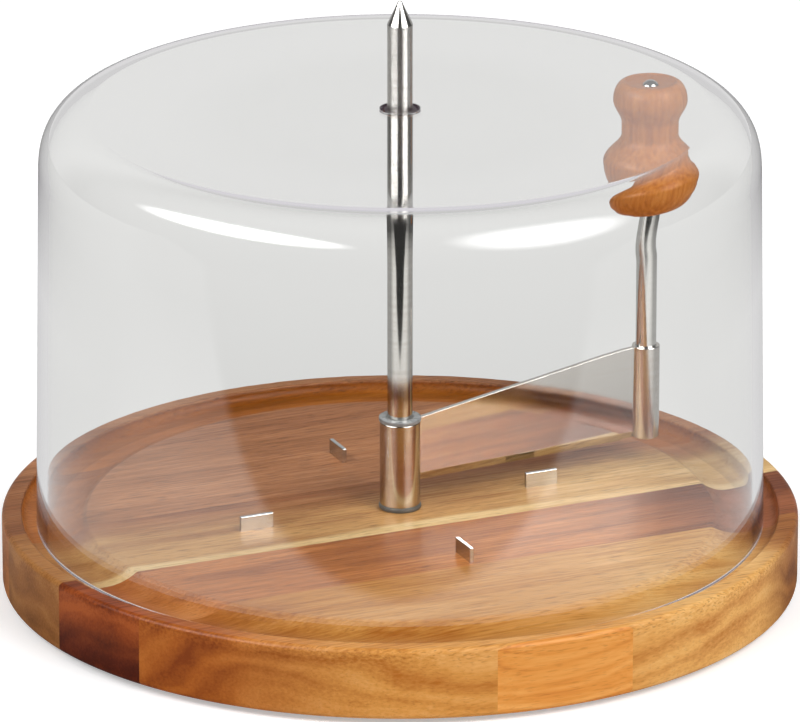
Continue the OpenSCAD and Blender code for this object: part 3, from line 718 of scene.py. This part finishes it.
def pale_floor():
    """Matt white sweep, lifted to white where it is seen directly. Seen through the cover it is a pale grey.
    In mirror images the table is bright near the board and fades with distance, its back is grey, and it
    ends 190 mm in front of the spindle, where the studio is dark."""
    # Distances from the spindle in millimetres, between which the table fades, its back fades, the table
    # turns into its back, it ends at the front, the board's shade ends, and the backdrop turns white
    table_fade = (260, 430)
    back_fade = (300, 400)
    to_back = (-130, 0)
    front_edge = (-186, -196)
    shade_end = (112, 150)
    to_white = (150, 400)
    # Levels, where 1 is white: near and far for the table, its back and the backdrop, and outside and inside
    # the cover for the board's shade
    table_levels = (1.4, 0.3)
    back_levels = (0.6, 0.15)
    back_through_cover = 0.9
    past_front_edge = 0.05
    shade_levels = (0.2, 0.65)
    veil_inside = 0.9
    backdrop_levels = (0.89, 1.0)
    white_lift = 0.4
    # The table's front edge falls back by this share towards its ends
    edge_slope = 0.15
    made = new_finish("matt white sweep")
    tree = made.node_tree
    path, seen, mirrored = rays(tree)
    through = add(tree, "Math", {0: path["Transmission Depth"], 1: 0.5}, operation="GREATER_THAN")["Value"]
    place = add(tree, "TexCoord", {})["Object"]
    sides = add(tree, "SeparateXYZ", {"Vector": place})
    apart = add(tree, "Math", {0: sides["X"]}, operation="ABSOLUTE")["Value"]
    away = add(tree, "VectorMath", {0: place}, operation="LENGTH")["Value"]
    table = add(tree, "MapRange", {"Value": away, "From Min": table_fade[0] * MM,
                                   "From Max": table_fade[1] * MM, "To Min": table_levels[0],
                                   "To Max": table_levels[1]})["Result"]
    back = add(tree, "MapRange", {"Value": away, "From Min": back_fade[0] * MM,
                                  "From Max": back_fade[1] * MM, "To Min": back_levels[0],
                                  "To Max": back_levels[1]})["Result"]
    back = add(tree, "Mix", {"Factor": path["Is Transmission Ray"], 2: back, 3: back_through_cover})[0]
    behind = add(tree, "MapRange", {"Value": sides["Y"], "From Min": to_back[0] * MM,
                                    "From Max": to_back[1] * MM})["Result"]
    level = add(tree, "Mix", {"Factor": behind, 2: table, 3: back})[0]
    line = add(tree, "Math", {0: apart, 1: edge_slope, 2: sides["Y"]}, operation="MULTIPLY_ADD")["Value"]
    front = add(tree, "MapRange", {"Value": line, "From Min": front_edge[0] * MM,
                                   "From Max": front_edge[1] * MM})["Result"]
    level = add(tree, "Mix", {"Factor": front, 2: level, 3: past_front_edge})[0]
    # Under the board's edge the table is in shade. Metal inside the cover mirrors a dimmer table with less
    # shade
    inside = add(tree, "Math", {0: path["Is Glossy Ray"], 1: through}, operation="MULTIPLY")["Value"]
    deep = add(tree, "Mix", {"Factor": inside, 2: shade_levels[0], 3: shade_levels[1]})[0]
    shade = add(tree, "MapRange", {"Value": away, "From Min": shade_end[0] * MM,
                                   "From Max": shade_end[1] * MM, "To Min": deep})["Result"]
    level = add(tree, "Math", {0: level, 1: shade}, operation="MULTIPLY")["Value"]
    veil = add(tree, "Mix", {"Factor": inside, 2: 1.0, 3: veil_inside})[0]
    level = add(tree, "Math", {0: level, 1: veil}, operation="MULTIPLY")["Value"]
    backdrop = add(tree, "MapRange", {"Value": sides["Y"], "From Min": to_white[0] * MM,
                                      "From Max": to_white[1] * MM, "To Min": backdrop_levels[0],
                                      "To Max": backdrop_levels[1]})["Result"]
    level = add(tree, "Mix", {"Factor": mirrored, 2: backdrop, 3: level})[0]
    image = add(tree, "Math", {0: mirrored, 1: through}, operation="MAXIMUM")["Value"]
    image = add(tree, "Math", {0: image, 1: seen}, operation="MULTIPLY")["Value"]
    # A picture of the floor is all glow, at its level
    colour = add(tree, "Mix", {"Factor": image, 6: (0.8, 0.8, 0.8, 1), 7: (0, 0, 0, 1)},
                 data_type="RGBA")[2]
    lift = add(tree, "Math", {0: seen, 1: white_lift}, operation="MULTIPLY")["Value"]
    lift = add(tree, "Mix", {"Factor": image, 2: lift, 3: level})[0]
    matt = add(tree, "BsdfPrincipled", {"Base Color": colour, "Roughness": 1.0, "Specular IOR Level": 0.0,
                                        "Emission Color": (1, 1, 1, 1), "Emission Strength": lift})
    add(tree, "OutputMaterial", {"Surface": matt["BSDF"]})
    return made


FLOOR_SIZE = 6000
far = FLOOR_SIZE / 2
floor_mesh = bpy.data.meshes.new("floor")
floor_points = np.array([(-far, -far, 0), (far, -far, 0), (far, far, 0), (-far, far, 0)])
floor_mesh.from_pydata((floor_points * MM).tolist(), [], [(0, 1, 2, 3)])
floor = bpy.data.objects.new("floor", floor_mesh)
bpy.context.scene.collection.objects.link(floor)
floor_mesh.materials.append(pale_floor())

# Levels of the light from all round, of the dim studio and of the white backdrop in mirror images. The
# backdrop begins and is full where a ray points this much to the back, and ends where it points this much up
AMBIENT = 0.32
DIM_STUDIO = 0.06
BACKDROP = 0.64
TO_THE_BACK = (0.5, 0.8)
UPWARDS = (0.55, 0.8)
world = bpy.data.worlds.new("white studio")
bpy.context.scene.world = world
world.use_nodes = True
tree = world.node_tree
tree.nodes.clear()
seen, mirrored = rays(tree)[1:]
level = add(tree, "MapRange", {"Value": seen, "To Min": AMBIENT, "To Max": 1.0})["Result"]
# Mirrored rays meet a white backdrop behind, up to half a right angle, and a dim studio above and in front
way = add(tree, "SeparateXYZ", {"Vector": add(tree, "TexCoord", {})["Generated"]})
behind = add(tree, "MapRange", {"Value": way["Y"], "From Min": TO_THE_BACK[0], "From Max": TO_THE_BACK[1],
                                "To Min": DIM_STUDIO, "To Max": BACKDROP},
             interpolation_type="SMOOTHSTEP")["Result"]
behind = add(tree, "MapRange", {"Value": way["Z"], "From Min": UPWARDS[0], "From Max": UPWARDS[1],
                                "To Min": behind, "To Max": DIM_STUDIO},
             interpolation_type="SMOOTHSTEP")["Result"]
shade = add(tree, "Mix", {"Factor": mirrored, 2: 1.0, 3: behind})[0]
level = add(tree, "Math", {0: level, 1: shade}, operation="MULTIPLY")["Value"]
sky = add(tree, "Background", {"Color": (1, 1, 1, 1), "Strength": level})
add(tree, "OutputWorld", {"Surface": sky["Background"]})

# Each softbox: azimuth from the camera's side towards the right, elevation, width and height in metres,
# radiance. The first two light the object. The other two only show in whatever is glossy, and thin out
# between these distances from their middle, as shares of their width
SOFTBOX_DISTANCE = 3.0
GLINT_FADE = (0.2, 0.5)
SOFTBOXES = {"left_softbox": (-60, 46, 2.84, 1.2, 4.3), "right_softbox": (50, 46, 2.2, 1.9, 5.8),
             "left_glint": (-57, 37, 4.6, 1.5, 24.0), "right_glint": (51, 37, 3.4, 3.1, 12.0)}
for name, (azimuth, elevation, width, height, radiance) in SOFTBOXES.items():
    lamp = bpy.data.lights.new(name, "AREA")
    lamp.shape = "ELLIPSE"
    lamp.size = width
    lamp.size_y = height
    # The power of a lamp is pi times its radiance times the ellipse's area
    lamp.energy = radiance * math.pi * width * height * math.pi / 4
    box = bpy.data.objects.new(name, lamp)
    turn, rise = math.radians(azimuth), math.radians(elevation)
    box.location = (SOFTBOX_DISTANCE * math.cos(rise) * math.sin(turn),
                    -SOFTBOX_DISTANCE * math.cos(rise) * math.cos(turn), SOFTBOX_DISTANCE * math.sin(rise))
    box.rotation_euler = (math.pi / 2 - rise, 0, turn)
    if name.endswith("glint"):
        lamp.use_nodes = True
        tree = lamp.node_tree
        spot = add(tree, "VectorMath", {0: add(tree, "NewGeometry", {})["Parametric"], 1: (0.5, 0.5, 0)},
                   operation="DISTANCE")["Value"]
        soft = add(tree, "MapRange", {"Value": spot, "From Min": GLINT_FADE[0], "From Max": GLINT_FADE[1],
                                      "To Min": 1.0, "To Max": 0.0},
                   interpolation_type="SMOOTHSTEP")["Result"]
        tree.links.new(soft, tree.nodes["Emission"].inputs["Strength"])
    box.visible_camera = False
    box.visible_transmission = False
    box.visible_glossy = name.endswith("glint")
    box.visible_diffuse = name.endswith("softbox")
    bpy.context.scene.collection.objects.link(box)

# The camera stands this far from the rim's middle, in metres, and looks a little above it. It was fitted to
# the board's two ellipses and the spindle in the photograph
CAMERA_ELEVATION = math.radians(20.38)
CAMERA_DISTANCE = 2.35
CAMERA_LIFT = math.radians(0.9726)
SENSOR_WIDTH = 36
FOCAL_LENGTH = 382.5
lens = bpy.data.cameras.new("camera")
lens.sensor_fit = "HORIZONTAL"
lens.sensor_width = SENSOR_WIDTH
lens.lens = FOCAL_LENGTH
camera = bpy.data.objects.new("camera", lens)
camera.location = (0, -CAMERA_DISTANCE * math.cos(CAMERA_ELEVATION),
                   RIM_Z * MM + CAMERA_DISTANCE * math.sin(CAMERA_ELEVATION))
camera.rotation_euler = (math.pi / 2 - CAMERA_ELEVATION + CAMERA_LIFT, 0, 0)
bpy.context.scene.collection.objects.link(camera)
bpy.context.scene.camera = camera
bpy.context.scene.view_settings.view_transform = "Standard"
